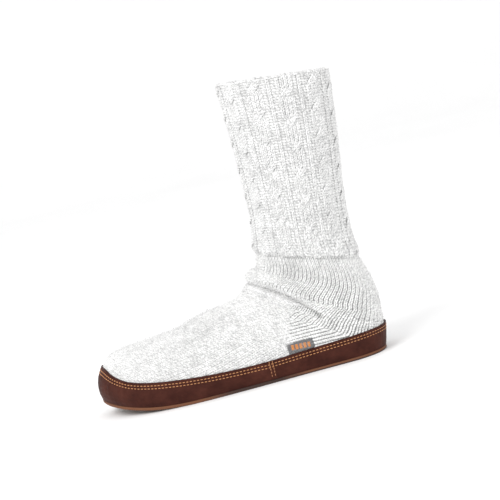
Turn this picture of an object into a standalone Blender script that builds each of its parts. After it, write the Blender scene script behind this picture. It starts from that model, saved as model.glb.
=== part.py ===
"""Slipper sock for the left foot: a knitted crew sock set into a leather rand on a thin leather sole.

Metres, +Z up. The toe points to -X and the lateral (outer) side faces -Y. The shoe stands on its sole,
and the origin is on the floor under the middle of its bounding box. Lengths along the foot are first
measured from the back of the heel towards the toe, and turned into X when the meshes are made.
"""

import math

import bmesh
import bpy
import numpy as np
from mathutils import Vector
from mathutils.bvhtree import BVHTree

# Driving sizes of the knitted upper, all to its outer face
FOOT_LENGTH = 0.2730      # heel back to toe tip
BALL_WIDTH = 0.0950
INSTEP_HEIGHT = 0.0840    # top of the instep at the front crease, above the floor
TOE_WIDEST_HEIGHT = 0.0140  # height at which the sides of the foot are widest
ANKLE_HEIGHT = 0.1470     # narrowest level of the leg, at the middle of its depth
ANKLE_DEPTH = 0.0850      # front to back at that level
ANKLE_WIDTH = 0.0780
ANKLE_CENTRE = 0.0537     # middle of the ankle, from the heel back
COLLAR_HEIGHT = 0.2695    # middle of the collar above the floor
COLLAR_DEPTH = 0.1010
COLLAR_WIDTH = 0.0970
COLLAR_SLOPE = 0.0090     # the collar is this much higher in front than behind
COLLAR_LEAN = 0.0060      # the collar's middle lies this far behind the ankle's
KNIT_WALL = 0.0026
LEG_STEP = 0.0010         # the patterned knit of the leg stands this proud of the plain ankle

# Sizes of the sole unit
OUTSOLE_THICKNESS = 0.0030
OUTSOLE_EDGE_ROUND = 0.0008
RAND_WALL = 0.0022
RAND_HEIGHT = 0.0250      # top of the rand above the floor, at the ball
RAND_SEAM_PLACE = 0.1143  # side seams of the rand, from the heel back
INSOLE_THICKNESS = 0.0100
INSOLE_EASE = 0.0010      # room round the insole, inside the knit
INSOLE_EDGE_ROUND = 0.0012
TOE_SPRING = 0.0128       # lift of the sole at the toe tip
SPRING_START = 0.1880     # where the sole leaves the floor, from the heel back
SPRING_POWER = 2.1
TOE_SHIFT = 0.0080        # the toe tip lies this far to the medial side
SHIFT_START = 0.1450
FIT = 0.0003              # gap between pieces that touch

# Woven label on the lateral side
LABEL_LENGTH = 0.0240
LABEL_HEIGHT = 0.0088
LABEL_THICKNESS = 0.0007
LABEL_PLACE = 0.0820      # middle of the label, from the heel back

# Folds of the knit: the crease over the instep and the roll that lies above it
CREASE_DEPTH = 0.0028
ROLL_HEIGHT = 0.0024

FEATHER = OUTSOLE_THICKNESS + FIT   # lower edge of upper and rand
SOLE_TUCK = 0.0110                  # the round of the foot would reach this far below the feather

# Leg sections, collar first. rise: share from ankle to collar height; swell: share from ankle size to
# collar size; lean: share of the collar's lean
LEG_SECTIONS = (
    # rise, swell, lean
    (1.000, 1.00, 1.00),
    (0.725, 0.69, 0.84),
    (0.453, 0.40, 0.60),
    (0.220, 0.15, 0.27),
    (0.000, 0.00, 0.00),
)

# Sections that fan out from the front of the ankle to the heel, and then stand up along the foot.
# front, back: shares of the foot length from the heel back; front_z: share of the instep height;
# back_z: share of the way from the feather to the instep; lateral, medial: shares of the ball width;
# widest: share of the way from back to front; round_back, round_front: exponents of the outline
FOOT_SECTIONS = (
    # front, front_z, back, back_z, lateral, medial, widest, round_back, round_front
    (0.3640, 1.548, 0.0430, 1.385, 0.400, 0.400, 0.500, 2.05, 2.00),
    (0.3690, 1.393, 0.0360, 1.100, 0.394, 0.394, 0.490, 2.05, 1.95),
    (0.3750, 1.274, 0.0130, 0.850, 0.388, 0.388, 0.480, 2.10, 1.90),
    (0.3880, 1.195, 0.0000, 0.628, 0.386, 0.386, 0.460, 2.10, 1.85),
    (0.4290, 1.130, 0.0010, 0.405, 0.384, 0.384, 0.440, 2.15, 1.80),
    (0.4420, 1.052, 0.0030, 0.294, 0.382, 0.382, 0.430, 2.15, 1.80),
    (0.4330, 0.994, 0.0067, 0.207, 0.380, 0.378, 0.420, 2.20, 1.75),
    (0.4520, 0.972, 0.0150, 0.083, 0.380, 0.374, 0.400, 2.20, 1.75),
    (0.4710, 0.946, 0.0224, 0.000, 0.380, 0.372, 0.380, 2.20, 1.75),
    (0.4930, 0.936, 0.0340, -0.078, 0.382, 0.372, 0.370, 2.20, 1.75),
    (0.5160, 0.924, 0.0600, -0.135, 0.387, 0.370, 0.360, 2.20, 1.75),
    (0.5460, 0.904, 0.1270, -0.140, 0.398, 0.368, 0.350, 2.25, 1.78),
    (0.5790, 0.880, 0.2460, -0.140, 0.419, 0.378, 0.340, 2.30, 1.82),
    (0.6170, 0.846, 0.3920, -0.140, 0.455, 0.408, 0.330, 2.40, 1.88),
    (0.6580, 0.803, 0.5410, -0.140, 0.487, 0.456, 0.320, 2.40, 1.94),
    (0.7020, 0.762, 0.6730, -0.140, 0.500, 0.493, 0.312, 2.40, 2.00),
    (0.7540, 0.736, 0.7540, -0.140, 0.490, 0.503, 0.310, 2.40, 2.05),
)
PATTERN_EDGE = 1          # the leg's patterned knit ends at this row of the foot table
CREASE_ROW = 6.0          # the crease under the roll, by row, at the front
CREASE_DROP = 0.55        # rows the crease drops per radian round the ankle
CREASE_ROWS = 0.50        # how many rows wide the crease is
ROLL_ABOVE = 1.10         # rows from the crease up to the middle of the roll
ROLL_ROWS = 0.75
FOLD_FULL = 1.2           # the fold is whole to this angle from the front, in radians
FOLD_END = 2.2            # and gone at this one
TOE_CAP_START = 0.7540    # share of the foot length at which the toe cap begins
TOE_PLAN_ROUND = 2.10     # how square the toe is from above
TOE_SIDE_ROUND = 3.60     # how square it is from the side
TOE_RIDGE_FALL = 0.28     # share of its height the top of the cap loses on its way to the tip
TOE_UNDER_ROUND = 3.20
TOE_PINCH = 0.0057        # the rand's stitched edge draws the toe tip in by this much
PINCH_HEIGHT = 0.0340     # at this height, on the flat last
PINCH_REACH = 0.0110      # and less and less this far above and below
PINCH_START = 0.8600      # share of the foot length at which the pinch begins
RAND_TOP = (
    # place along the foot, height of the rand's top edge: shares of foot length and rand height
    (0.00, 0.970),
    (0.20, 0.925),
    (0.42, 0.840),
    (0.58, 0.890),
    (0.74, 1.010),
    (0.90, 1.085),
    (0.96, 1.190),
    (1.00, 1.330),
)

# How finely the shapes are cut into faces
HALF_LOOP = 18
LEG_STEPS = 7
FOOT_STEPS = 2
TOE_STEPS = 10
RING_STATIONS = 46
STATION_BEND_REACH = 0.040
OPENING_CROWD = 1.8       # how closely sections crowd to where the skin opens underneath
RAND_LEVELS = 7
CHORD_EASE = 0.0002       # extra room where flat faces bridge a curve
LOOK_INSIDE = 0.025       # how far inside the widest line the search for the wall starts
LOOK_ABOVE = 0.0002       # the wall is looked for at least this far above its lower edge


def clear_scene():
    for item in list(bpy.data.objects):
        bpy.data.objects.remove(item)


def spline(rows, place):
    """Catmull-Rom value of a table of rows at a fractional row number."""
    rows = np.asarray(rows, float)
    last = len(rows) - 1
    i = int(min(max(math.floor(place), 0), last - 1))
    f = place - i
    p0, p1, p2, p3 = (rows[min(max(k, 0), last)] for k in (i - 1, i, i + 1, i + 2))
    return 0.5 * (2 * p1 + (p2 - p0) * f + (2 * p0 - 5 * p1 + 4 * p2 - p3) * f**2
                  + (3 * p1 - p0 - 3 * p2 + p3) * f**3)


def leg_row(rise, swell, lean):
    """One leg section as front, front height, back, back height, two half widths and its roundness."""
    depth = ANKLE_DEPTH + swell * (COLLAR_DEPTH - ANKLE_DEPTH)
    width = ANKLE_WIDTH + swell * (COLLAR_WIDTH - ANKLE_WIDTH)
    centre = ANKLE_CENTRE - lean * COLLAR_LEAN
    height = ANKLE_HEIGHT + rise * (COLLAR_HEIGHT - ANKLE_HEIGHT)
    half_drop = COLLAR_SLOPE / 2
    return (centre + depth / 2, height + half_drop, centre - depth / 2, height - half_drop,
            width / 2, width / 2, 0.5, 2.05, 2.05)


def foot_row(front, front_z, back, back_z, lateral, medial, widest, round_back, round_front):
    """One foot section in metres, in the same order as a leg section."""
    return (front * FOOT_LENGTH, front_z * INSTEP_HEIGHT, back * FOOT_LENGTH,
            FEATHER + back_z * (INSTEP_HEIGHT - FEATHER), lateral * BALL_WIDTH, medial * BALL_WIDTH,
            widest, round_back, round_front)


SECTIONS = [leg_row(*r) for r in LEG_SECTIONS] + [foot_row(*r) for r in FOOT_SECTIONS]
LEG_ROWS = len(LEG_SECTIONS)
FEATHER_ROW = LEG_ROWS + [r[3] for r in FOOT_SECTIONS].index(0.0)


def cap_shares(steps):
    """Places of the toe cap's sections, one of them where the cap's underside rises past the feather."""
    under = SECTIONS[-1][3]
    below = (TOE_WIDEST_HEIGHT - FEATHER) / (TOE_WIDEST_HEIGHT - under)
    turn = math.asin((1 - below**TOE_UNDER_ROUND) ** (1 / TOE_UNDER_ROUND))
    before = max(3, round(0.75 * steps))
    after = max(2, steps - before)
    open_turns = turn * (1 - np.linspace(1, 0, before + 1)[1:] ** OPENING_CROWD)
    closed_turns = np.linspace(turn, math.pi / 2, after + 1)[1:-1]
    return [(math.sin(t), False) for t in open_turns[:-1]] + [(math.sin(turn), True)] \
        + [(math.sin(t), True) for t in closed_turns]


def cap_row(share):
    """A section of the toe cap, share of the way from its start to the tip."""
    _, ridge, _, under, lateral, medial, _, back, front = SECTIONS[-1]
    start = TOE_CAP_START * FOOT_LENGTH
    place = start + share * (FOOT_LENGTH - start)
    plan, side, below = ((1 - share**n) ** (1 / n)
                         for n in (TOE_PLAN_ROUND, TOE_SIDE_ROUND, TOE_UNDER_ROUND))
    top = TOE_WIDEST_HEIGHT + (ridge - TOE_WIDEST_HEIGHT) * side * (1 - TOE_RIDGE_FALL * share)
    bottom = TOE_WIDEST_HEIGHT - (TOE_WIDEST_HEIGHT - under) * below
    widest = (TOE_WIDEST_HEIGHT - bottom) / max(top - bottom, 1e-9)
    return (place, top, place, bottom, lateral * plan, medial * plan, widest, back, front)


def half_loop(row, side, count, feather_cut=True):
    """Points of one side of a section, from the heel or feather up to the front line."""
    front, front_z, back, back_z, lateral, medial, widest, round_back, round_front = row
    width = lateral if side < 0 else medial
    turn = np.linspace(0, math.pi, 241)
    behind = turn <= math.pi / 2
    power = np.where(behind, 2 / round_back, 2 / round_front)
    reach = np.abs(np.cos(turn)) ** power
    along = np.where(behind, widest * (1 - reach), widest + (1 - widest) * reach)
    across = width * np.abs(np.sin(turn)) ** power
    points = np.stack([back + (front - back) * along, side * across,
                       back_z + (front_z - back_z) * along], 1)
    if feather_cut and back_z < FEATHER - 1e-9:
        first = int(np.argmax(points[:, 2] > FEATHER))
        low, high = points[first - 1], points[first]
        start = low + (high - low) * (FEATHER - low[2]) / (high[2] - low[2])
        points = np.vstack([start, points[first:]])
    run = np.concatenate([[0], np.cumsum(np.linalg.norm(np.diff(points, axis=0), axis=1))])
    even = np.linspace(0, run[-1], count + 1)
    return np.stack([np.interp(even, run, points[:, k]) for k in range(3)], 1)


def fold_push(place, angle):
    """How far the knit stands out at a section and an angle round it, 0 at the front line."""
    row = place - LEG_ROWS
    step = LEG_STEP if row < PATTERN_EDGE else 0.0
    crease_row = CREASE_ROW + CREASE_DROP * angle
    fade = min(1.0, max(0.0, (FOLD_END - angle) / (FOLD_END - FOLD_FULL)))
    fade = fade * fade * (3 - 2 * fade) * min(1.0, angle / 0.4)
    crease = -CREASE_DEPTH * math.exp(-((row - crease_row) / CREASE_ROWS) ** 2)
    roll = ROLL_HEIGHT * math.exp(-((row - crease_row + ROLL_ABOVE) / ROLL_ROWS) ** 2)
    return step + fade * (crease + roll)


def section_places(leg_steps, foot_steps):
    """Fractional row numbers of the sections to build, with a close pair at the pattern's edge."""
    edge = LEG_ROWS + PATTERN_EDGE
    marks = list(np.linspace(0, LEG_ROWS, leg_steps))
    marks += list(np.linspace(LEG_ROWS, len(SECTIONS) - 1,
                              (len(SECTIONS) - 1 - LEG_ROWS) * foot_steps + 1))[1:]
    fold = LEG_ROWS + CREASE_ROW
    marks = [m for m in marks if abs(m - edge) > 0.2 and not FEATHER_ROW < m < FEATHER_ROW + 1
             and abs(m - fold) > 1.1]
    marks += list(np.linspace(fold - 1, fold + 1, 3 * foot_steps + 1))
    marks += list(FEATHER_ROW + np.linspace(0, 1, 2 * foot_steps + 2)[1:-1] ** OPENING_CROWD)
    return sorted(marks + [edge - 0.07, edge])


def loops(half, leg_steps, foot_steps, toe_steps):
    """Loops of points from the collar to the toe, and whether each is closed at its back or bottom."""
    found = []
    for place in section_places(leg_steps, foot_steps):
        row = spline(SECTIONS, place)
        closed = place <= FEATHER_ROW
        middle = np.array([(row[0] + row[2]) / 2, 0, (row[1] + row[3]) / 2])
        sides = []
        for side in (-1, 1):
            line = half_loop(row, side, half, not closed)
            for k, point in enumerate(line):
                out = point - middle
                angle = math.pi * (1 - k / half)
                line[k] = point + fold_push(place, angle) * out / np.linalg.norm(out)
            sides.append(line)
        found.append((np.vstack([sides[0], sides[1][::-1][1:]]), closed))
    for share, closed in cap_shares(toe_steps):
        row = cap_row(share)
        line = [half_loop(row, side, half, not closed) for side in (-1, 1)]
        found.append((np.vstack([line[0], line[1][::-1][1:]]), closed))
    return found


def skin(half, leg_steps, foot_steps, toe_steps):
    """The upper's outer face as points and faces, open at the collar and along the feather."""
    points, faces, last = [], [], None
    for loop, closed in loops(half, leg_steps, foot_steps, toe_steps):
        if closed:
            loop = loop[:-1]
        index = [len(points) + k for k in range(len(loop))]
        points += [tuple(p) for p in loop]
        if closed:
            index.append(index[0])
        if last:
            faces += [(last[k], index[k], index[k + 1], last[k + 1]) for k in range(2 * half)]
        last = index
    tip = len(points)
    points.append((FOOT_LENGTH, 0.0, TOE_WIDEST_HEIGHT))
    faces += [(last[k], tip, last[k + 1]) for k in range(2 * half)]
    return points, faces


def set_on_last(point):
    """Gives a flat, straight point the toe's pinch, sideways bend and spring, and turns it into X."""
    x, y, z = point
    near = min(1.0, max(0.0, (x / FOOT_LENGTH - PINCH_START) / (1 - PINCH_START)))
    pinch = TOE_PINCH * near * near * (3 - 2 * near) * math.exp(-((z - PINCH_HEIGHT) / PINCH_REACH) ** 2)
    bend = max(0.0, (x - SHIFT_START) / (FOOT_LENGTH - SHIFT_START))
    lift = max(0.0, (x - SPRING_START) / (FOOT_LENGTH - SPRING_START))
    return Vector((pinch - x, y + TOE_SHIFT * bend**2, z + TOE_SPRING * lift**SPRING_POWER))


FINE_SKIN = BVHTree.FromPolygons(*skin(72, 30, 8, 48))


def wall_point(x, y, normal, level):
    """Where the upper's side is, at a height, along a level line through x, y; and its steepness."""
    start = Vector((x - normal[0] * LOOK_INSIDE, y - normal[1] * LOOK_INSIDE, level))
    hit, face_normal, _, _ = FINE_SKIN.ray_cast(start, Vector((normal[0], normal[1], 0)))
    steep = math.hypot(face_normal.x, face_normal.y)
    return hit, steep


def plan_ring(count):
    """Stations round the foot at its widest level, heel first and then the lateral side, with normals."""
    level = TOE_WIDEST_HEIGHT
    middle = Vector((FOOT_LENGTH / 2, 0, level))
    heel, toe = (FINE_SKIN.ray_cast(middle, Vector((way, 0, 0)))[0].x for way in (-1, 1))
    fine_xs = heel + (toe - heel) * (1 - np.cos(np.linspace(0, math.pi, 161))) / 2
    sides = []
    for side in (-1, 1):
        line = [(heel, 0.0)]
        for x in fine_xs[1:-1]:
            hit = FINE_SKIN.ray_cast(Vector((x, 0, level)), Vector((0, side, 0)))[0]
            line.append((hit.x, hit.y))
        line = np.array(line + [(toe, 0.0)])
        step = np.diff(line, axis=0)
        length = np.linalg.norm(step, axis=1)
        turn = np.unwrap(np.arctan2(step[:, 1], step[:, 0]))
        bend = np.abs(np.gradient(turn)) * STATION_BEND_REACH
        run = np.concatenate([[0], np.cumsum(length + bend)])
        even = np.linspace(0, run[-1], count + 1)
        sides.append(np.stack([np.interp(even, run, line[:, k]) for k in (0, 1)], 1))
    ring = np.vstack([sides[0], sides[1][::-1][1:-1]])
    tangent = np.roll(ring, -1, axis=0) - np.roll(ring, 1, axis=0)
    normal = np.stack([-tangent[:, 1], tangent[:, 0]], 1)
    normal /= np.linalg.norm(normal, axis=1)[:, None]
    outward = np.sign(np.sum(normal * (ring - ring.mean(0)), axis=1))
    return ring, normal * outward[:, None]


def offset_ring(ring, normals, height, gap, look=None):
    """A ring round the upper at a height, a gap off its outer face (negative is inside it)."""
    found = []
    for (x, y), normal in zip(ring, normals):
        level = height(x) if callable(height) else height
        look_level = max(level if look is None else look, FEATHER + LOOK_ABOVE)
        hit, steep = wall_point(x, y, normal, look_level)
        reach = gap / max(steep, 0.5)
        found.append((hit.x + normal[0] * reach, hit.y + normal[1] * reach, level))
    return found


def rand_top(x):
    """Height of the rand's top edge at a place along the foot."""
    share = min(max(x / FOOT_LENGTH, 0.0), 1.0)
    stops, heights = zip(*RAND_TOP)
    k = max(i for i, stop in enumerate(stops) if stop <= share)
    k = min(k, len(stops) - 2)
    f = (share - stops[k]) / (stops[k + 1] - stops[k])
    return RAND_HEIGHT * spline([(height,) for height in heights], k + f)[0]


def material(name, colour, roughness):
    made = bpy.data.materials.new(name)
    made.use_nodes = True
    shader = made.node_tree.nodes["Principled BSDF"]
    shader.inputs["Base Color"].default_value = (*colour, 1)
    shader.inputs["Roughness"].default_value = roughness
    shader.inputs["Metallic"].default_value = 0.0
    return made


def finish_mesh(mesh, name, look):
    """Sets a flat, straight mesh on the last and makes it a named object."""
    for vertex in mesh.vertices:
        vertex.co = set_on_last(vertex.co)
    edit = bmesh.new()
    edit.from_mesh(mesh)
    bmesh.ops.recalc_face_normals(edit, faces=edit.faces)
    edit.to_mesh(mesh)
    edit.free()
    mesh.shade_smooth()
    mesh.set_sharp_from_angle(angle=math.radians(40))
    mesh.materials.clear()
    mesh.materials.append(look)
    made = bpy.data.objects.new(name, mesh)
    bpy.context.scene.collection.objects.link(made)
    return made


def mesh_of(points, faces, name):
    mesh = bpy.data.meshes.new(name)
    mesh.from_pydata([tuple(p) for p in points], [], faces)
    mesh.validate()
    return mesh


def make_upper(look):
    """The knitted sock: its outer face, thickened inwards by the knit's wall."""
    points, faces = skin(HALF_LOOP, LEG_STEPS, FOOT_STEPS, TOE_STEPS)
    mesh = mesh_of(points, faces, "upper_skin")
    blank = bpy.data.objects.new("upper_blank", mesh)
    bpy.context.scene.collection.objects.link(blank)
    wall = blank.modifiers.new("wall", "SOLIDIFY")
    wall.thickness = KNIT_WALL
    wall.offset = -1
    wall.use_even_offset = False
    wall.use_rim = True
    solid = bpy.data.meshes.new_from_object(blank.evaluated_get(bpy.context.evaluated_depsgraph_get()))
    bpy.data.objects.remove(blank)
    return finish_mesh(solid, "upper", look)


def make_rand(name, start, stop, look, ring, normals):
    """A leather side band over ring stations start to stop, held just off the upper."""
    count = len(ring)
    keep = [k % count for k in range(start, stop + 1)]
    part_ring, part_normals = ring[keep].copy(), normals[keep]
    for end, inner in ((0, 1), (-1, -2)):
        along = ring[keep[inner]] - ring[keep[end]]
        part_ring[end] += along / np.linalg.norm(along) * FIT / 2
    shares = np.linspace(0, 1, RAND_LEVELS)
    rows = []
    for gap in (FIT + CHORD_EASE, FIT + RAND_WALL):
        for share in shares:
            height = lambda x, s=share: FEATHER + s * (rand_top(x) - FEATHER)
            rows.append(offset_ring(part_ring, part_normals, height, gap))
    wide = len(part_ring)
    points = [p for row in rows for p in row]
    face = []
    levels = RAND_LEVELS
    at = lambda shell, row, k: (shell * levels + row) * wide + k
    for k in range(wide - 1):
        for row in range(levels - 1):
            face.append((at(0, row, k), at(0, row, k + 1), at(0, row + 1, k + 1), at(0, row + 1, k)))
            face.append((at(1, row, k), at(1, row + 1, k), at(1, row + 1, k + 1), at(1, row, k + 1)))
        for row in (0, levels - 1):
            face.append((at(0, row, k), at(1, row, k), at(1, row, k + 1), at(0, row, k + 1)))
    for k in (0, wide - 1):
        for row in range(levels - 1):
            face.append((at(0, row, k), at(0, row + 1, k), at(1, row + 1, k), at(1, row, k)))
    return finish_mesh(mesh_of(points, face, name), name, look)


def stacked_solid(name, rings, look):
    """A solid through like rings from bottom to top, closed below and above by strips across the foot."""
    count = len(rings[0])
    points = [p for one in rings for p in one]
    faces = []
    for level in range(len(rings) - 1):
        for k in range(count):
            n = (k + 1) % count
            faces.append((level * count + k, level * count + n,
                          (level + 1) * count + n, (level + 1) * count + k))
    half = count // 2
    for level in (0, len(rings) - 1):
        base = level * count
        faces.append((base, base + 1, base + count - 1))
        faces.append((base + half, base + half - 1, base + half + 1))
        for k in range(1, half - 1):
            faces.append((base + k, base + k + 1, base + count - k - 1, base + count - k))
    return finish_mesh(mesh_of(points, faces, name), name, look)


def make_outsole(look, ring, normals):
    """The thin sole, its edge flush with the rand and a little rounded underneath."""
    flush = FIT + RAND_WALL
    rings = [offset_ring(ring, normals, height, flush - inset, FEATHER)
             for height, inset in ((0.0, OUTSOLE_EDGE_ROUND), (OUTSOLE_EDGE_ROUND, 0.0),
                                   (OUTSOLE_THICKNESS, 0.0))]
    return stacked_solid("outsole", rings, look)


def make_insole(look, ring, normals):
    """The padded footbed inside the upper, on the outsole."""
    top = FEATHER + INSOLE_THICKNESS
    gap = -(KNIT_WALL + INSOLE_EASE)
    levels = ((FEATHER, 0.0), (FEATHER + INSOLE_THICKNESS / 2, 0.0), (top - INSOLE_EDGE_ROUND, 0.0),
              (top, INSOLE_EDGE_ROUND))
    rings = [offset_ring(ring, normals, height, gap - inset) for height, inset in levels]
    return stacked_solid("insole", rings, look)


def make_label(look, ring, normals):
    """The woven label, which stands up from behind the rand's top edge and lies on the knit."""
    lateral = slice(1, len(ring) // 2)
    xs = ring[lateral, 0]
    columns = np.linspace(LABEL_PLACE - LABEL_LENGTH / 2, LABEL_PLACE + LABEL_LENGTH / 2, 6)
    rows = np.linspace(FIT, LABEL_HEIGHT, 4)
    points = []
    for gap in (FIT, FIT + LABEL_THICKNESS):
        for rise in rows:
            for x in columns:
                y = np.interp(x, xs, ring[lateral, 1])
                normal = np.array([np.interp(x, xs, normals[lateral, a]) for a in (0, 1)])
                normal /= np.linalg.norm(normal)
                level = rand_top(x) + rise
                hit, steep = wall_point(x, y, normal, level)
                reach = gap / steep
                points.append((hit.x + normal[0] * reach, hit.y + normal[1] * reach, level))
    wide, high = len(columns), len(rows)
    at = lambda shell, r, c: (shell * high + r) * wide + c
    faces = []
    for r in range(high - 1):
        for c in range(wide - 1):
            for shell in (0, 1):
                faces.append((at(shell, r, c), at(shell, r, c + 1),
                              at(shell, r + 1, c + 1), at(shell, r + 1, c)))
    for c in range(wide - 1):
        for r in (0, high - 1):
            faces.append((at(0, r, c), at(1, r, c), at(1, r, c + 1), at(0, r, c + 1)))
    for r in range(high - 1):
        for c in (0, wide - 1):
            faces.append((at(0, r, c), at(0, r + 1, c), at(1, r + 1, c), at(1, r, c)))
    return finish_mesh(mesh_of(points, faces, "label"), "label", look)


def centre_on_floor(pieces):
    """Moves every piece so that the origin is under the middle of the whole, on the floor."""
    corners = np.array([tuple(v.co) for p in pieces for v in p.data.vertices])
    low, high = corners.min(0), corners.max(0)
    shift = Vector((-(low[0] + high[0]) / 2, -(low[1] + high[1]) / 2, -low[2]))
    for piece in pieces:
        for vertex in piece.data.vertices:
            vertex.co += shift
    print("moved by", tuple(round(s, 5) for s in shift), "size", tuple(np.round(high - low, 4)))


def main():
    clear_scene()
    knit = material("ragg_knit", (0.70, 0.70, 0.68), 0.95)
    leather = material("brown_leather", (0.060, 0.020, 0.014), 0.60)
    sole_leather = material("sole_leather", (0.130, 0.052, 0.022), 0.75)
    fleece = material("footbed_fleece", (0.55, 0.50, 0.42), 0.95)
    woven = material("woven_label", (0.16, 0.16, 0.165), 0.85)
    ring, normals = plan_ring(RING_STATIONS)
    xs = ring[:, 0]
    lateral_seam = int(np.argmin(np.abs(xs[:RING_STATIONS] - RAND_SEAM_PLACE)))
    medial_seam = 2 * RING_STATIONS - lateral_seam
    pieces = [
        make_upper(knit),
        make_rand("rand_front", lateral_seam, medial_seam, leather, ring, normals),
        make_rand("rand_rear", medial_seam, 2 * RING_STATIONS + lateral_seam, leather, ring, normals),
        make_outsole(sole_leather, ring, normals),
        make_insole(fleece, ring, normals),
        make_label(woven, ring, normals),
    ]
    centre_on_floor(pieces)


main()
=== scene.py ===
import math

import bpy
import numpy as np
from mathutils import Matrix, Vector
from mathutils.bvhtree import BVHTree


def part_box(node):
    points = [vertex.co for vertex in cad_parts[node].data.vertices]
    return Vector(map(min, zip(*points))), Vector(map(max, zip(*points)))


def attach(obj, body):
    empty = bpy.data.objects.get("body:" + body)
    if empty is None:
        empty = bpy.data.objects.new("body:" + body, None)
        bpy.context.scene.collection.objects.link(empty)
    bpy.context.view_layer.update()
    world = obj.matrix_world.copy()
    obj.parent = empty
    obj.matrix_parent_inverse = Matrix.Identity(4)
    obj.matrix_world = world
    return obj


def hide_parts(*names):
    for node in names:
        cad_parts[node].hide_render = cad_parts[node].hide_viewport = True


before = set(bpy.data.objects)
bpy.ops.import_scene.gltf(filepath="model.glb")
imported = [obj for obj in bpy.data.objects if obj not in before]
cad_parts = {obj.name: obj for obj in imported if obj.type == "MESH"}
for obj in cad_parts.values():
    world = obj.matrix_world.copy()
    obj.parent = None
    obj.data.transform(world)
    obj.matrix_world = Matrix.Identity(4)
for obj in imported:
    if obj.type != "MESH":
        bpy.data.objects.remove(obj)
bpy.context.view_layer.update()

# The sock's wall: one tube of ragg wool knitted in the round, open at the collar and under the foot. It
# shows between the stitches as a darker web and all down the inside of the leg. Outside, the web is coloured
# darker than the yarn as painted shade between the stitches, darkest at the ankle and heel. It is smooth over
# the foot and lies in folds at the ankle.
CLOTH_SHADE = (0.58, 0.58, 0.575)
ANKLE_SHADE = (0.33, 0.33, 0.33)
CLOTH_INSIDE = (0.70, 0.70, 0.69)
CLOTH_SINK = 0.0002
CLOTH_WALL = 0.0022
CLOTH_FLOOR = 0.0070       # the cloth turns under behind the rand, just below this height
OUTER_LOOKS = 2            # materials of the outer face, followed by as many for the inner one


def new_material(name):
    """An empty node material and helpers to add and join its nodes."""
    made = bpy.data.materials.new(name)
    made.use_nodes = True
    tree = made.node_tree
    shader = tree.nodes["Principled BSDF"]

    def add(kind, **settings):
        node = tree.nodes.new(kind)
        for key, value in settings.items():
            if key[0].isupper():
                node.inputs[key.replace("_", " ")].default_value = value
            else:
                setattr(node, key, value)
        return node

    def join(start, out, end, socket):
        tree.links.new(start.outputs[out], end.inputs[socket])

    return made, shader, add, join


def two_colours(add, join, factor, out, low, high, start=0.4, end=0.6):
    """A colour ramp from low to high, driven by a node's output."""
    ramp = add("ShaderNodeValToRGB")
    ramp.color_ramp.elements[0].position = start
    ramp.color_ramp.elements[1].position = end
    ramp.color_ramp.elements[0].color = (*low, 1)
    ramp.color_ramp.elements[1].color = (*high, 1)
    join(factor, out, ramp, "Fac")
    return ramp


def texture(add, join, kind, **settings):
    """A texture that keeps still on the object it colours."""
    node = add(kind, **settings)
    join(add("ShaderNodeTexCoord"), "Object", node, "Vector")
    return node


def surface_feel(add, join, shader, source, out, strength, depth, roughness, sheen=0.0):
    """Fine bumps from a node's output, and how dull and downy the surface is."""
    bump = add("ShaderNodeBump", Strength=strength, Distance=depth)
    join(source, out, bump, "Height")
    join(bump, "Normal", shader, "Normal")
    shader.inputs["Roughness"].default_value = roughness
    shader.inputs["Sheen Weight"].default_value = sheen


def cloth_material(name, colour):
    made, shader, add, join = new_material(name)
    fleck = texture(add, join, "ShaderNodeTexNoise", Scale=900.0, Detail=3.0)
    shade = two_colours(add, join, fleck, "Fac", tuple(0.65 * c for c in colour), colour, 0.35, 0.7)
    join(shade, "Color", shader, "Base Color")
    ribs = texture(add, join, "ShaderNodeTexVoronoi", Scale=420.0)
    surface_feel(add, join, shader, ribs, "Distance", 0.6, 0.0008, 0.95, 0.3)
    return made


def place_in_scene(name, data):
    """A new object of a mesh, lamp or lens, put in the scene."""
    made = bpy.data.objects.new(name, data)
    bpy.context.scene.collection.objects.link(made)
    return made


def new_mesh(name, points, faces, *materials):
    """A mesh of points and faces, with a slot for each material."""
    mesh = bpy.data.meshes.new(name)
    mesh.from_pydata(points, [], faces)
    for look in materials:
        mesh.materials.append(look)
    return mesh


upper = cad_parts["upper"]

LEG_LINES = (
    # where each course line meets the sock's front and back, seen from the side: front x, z; back x, z
    (0.0376, 0.2740, 0.1386, 0.2650),
    (0.0392, 0.2403, 0.1352, 0.2313),
    (0.0401, 0.2070, 0.1315, 0.1980),
    (0.0401, 0.1784, 0.1275, 0.1694),
    (0.0396, 0.1515, 0.1247, 0.1425),
    (0.0365, 0.1300, 0.1241, 0.1151),
    (0.0351, 0.1170, 0.1260, 0.0921),
)
FOOT_LINES = (
    # the same from the ankle over the heel and instep, down to the level lines of the foot and toe
    (0.0335, 0.1070, 0.1323, 0.0719),
    (0.0299, 0.1004, 0.1358, 0.0540),
    (0.0187, 0.0949, 0.1356, 0.0360),
    (0.0152, 0.0884, 0.1350, 0.0270),
    (0.0176, 0.0835, 0.1340, 0.0200),
    (0.0125, 0.0816, 0.1318, 0.0100),
    (0.0073, 0.0795, 0.1297, 0.0033),
    (0.0013, 0.0786, 0.1266, -0.0030),
    (-0.0050, 0.0776, 0.1195, -0.0076),
    (-0.0132, 0.0759, 0.1012, -0.0080),
    (-0.0222, 0.0739, 0.0687, -0.0080),
    (-0.0326, 0.0711, 0.0288, -0.0080),
    (-0.0438, 0.0675, -0.0118, -0.0080),
    (-0.0558, 0.0648, -0.0479, -0.0080),
    (-0.0700, 0.0620, -0.0700, -0.0060),
    (-0.0850, 0.0600, -0.0850, -0.0040),
    (-0.1000, 0.0580, -0.1000, -0.0010),
    (-0.1150, 0.0550, -0.1150, 0.0040),
    (-0.1300, 0.0500, -0.1300, 0.0110),
)
SEAM_SHIFT = 0.0015        # the sock's middle lies this far to the outer side of the frame's
TOE_BEND = 0.0080          # and the toe tip this far to the inner side of the sock's middle
BEND_START = -0.0092
BEND_END = -0.1372
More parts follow.
